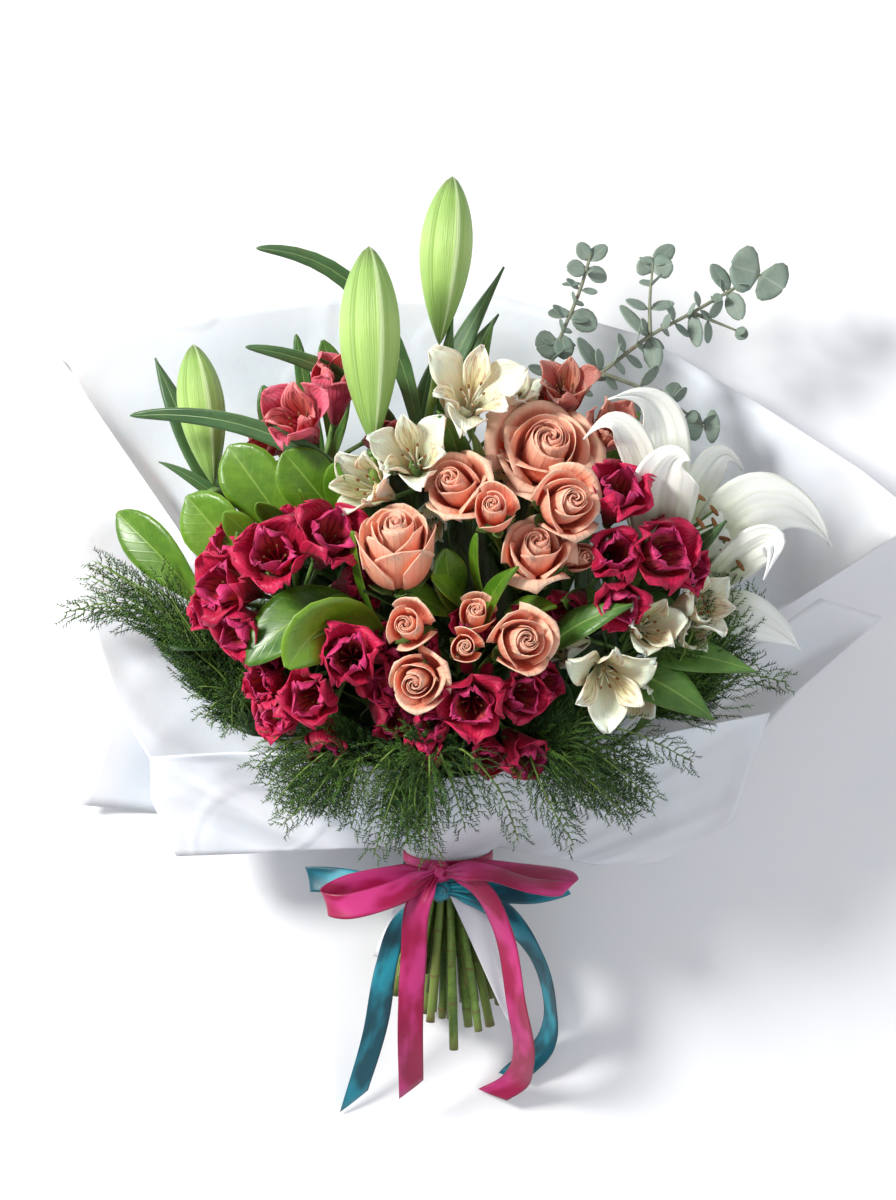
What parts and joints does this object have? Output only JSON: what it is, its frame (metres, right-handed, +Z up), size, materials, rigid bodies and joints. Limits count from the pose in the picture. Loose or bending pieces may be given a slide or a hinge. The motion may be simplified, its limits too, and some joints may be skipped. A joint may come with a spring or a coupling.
{
  "type": "mixed flower bouquet",
  "caption": "Hand-tied bouquet of roses, lilies, alstroemeria and greens in frosted wrap, lying down, tied with two satin ribbons.",
  "frame": {"origin": "on the table, on the flat underside of the back sheet, under the middle of the bouquet", "axes": "+Z up from the table, +Y from the cut stem ends towards the flowers, +X to the right of someone who looks down at the bow"},
  "size_m": [0.5055, 0.5461, 0.2014],
  "materials": {
    "peach_petal": "matte",
    "crimson_petal": "satin",
    "coral_petal": "satin",
    "dusty_petal": "matte",
    "cream_petal": "matte",
    "lily_bud_green": "satin",
    "lily_petal": "satin",
    "green_stem": "satin",
    "spoon_leaf": "satin",
    "eucalyptus_leaf": "matte",
    "fern_needle": "satin",
    "frosted_wrap": "satin",
    "magenta_satin": "satin",
    "teal_satin": "satin",
    "binding_twine": "matte"
  },
  "bodies": {
    "root": {"binding": "binding_twine", "coral_back_left": "coral_petal", "coral_back_left_stem": "green_stem", "cream_back": "cream_petal", "cream_back_stem": "green_stem", "cream_right": "cream_petal", "cream_right_stem": "green_stem", "crimson_left": "crimson_petal", "crimson_left_stem": "green_stem", "crimson_low": "crimson_petal", "crimson_low_left": "crimson_petal", "crimson_low_left_stem": "green_stem", "crimson_low_stem": "green_stem", "crimson_right": "crimson_petal", "crimson_right_stem": "green_stem", "dusty_back_right": "dusty_petal", "dusty_back_right_stem": "green_stem", "eucalyptus_long": "eucalyptus_leaf", "eucalyptus_short": "eucalyptus_leaf", "fern_left": "fern_needle", "fern_low": "fern_needle", "fern_low_left": "fern_needle", "fern_low_right": "fern_needle", "fern_right": "fern_needle", "greens_back_left": "spoon_leaf", "greens_centre": "spoon_leaf", "greens_front_left": "spoon_leaf", "greens_left": "spoon_leaf", "greens_outer_left": "spoon_leaf", "lily_bud_front": "lily_bud_green", "lily_bud_left": "lily_bud_green", "lily_bud_tall": "lily_bud_green", "lily_open_back": "lily_petal", "lily_open_right": "lily_petal", "lily_stem_back": "green_stem", "lily_stem_left": "green_stem", "lily_stem_right": "green_stem", "ribbon_magenta": "magenta_satin", "ribbon_teal": "teal_satin", "rose_back": "peach_petal", "rose_back_stem": "green_stem", "rose_front": "peach_petal", "rose_front_stem": "green_stem", "spray_rose_high_1": "peach_petal", "spray_rose_high_2": "peach_petal", "spray_rose_high_3": "peach_petal", "spray_rose_high_4": "peach_petal", "spray_rose_high_5": "peach_petal", "spray_rose_high_stem": "green_stem", "spray_rose_low_1": "peach_petal", "spray_rose_low_2": "peach_petal", "spray_rose_low_3": "peach_petal", "spray_rose_low_4": "peach_petal", "spray_rose_low_5": "peach_petal", "spray_rose_low_stem": "green_stem", "wrap_back": "frosted_wrap", "wrap_collar": "frosted_wrap", "wrap_left": "frosted_wrap", "wrap_right": "frosted_wrap"}
  },
  "joints": []
}
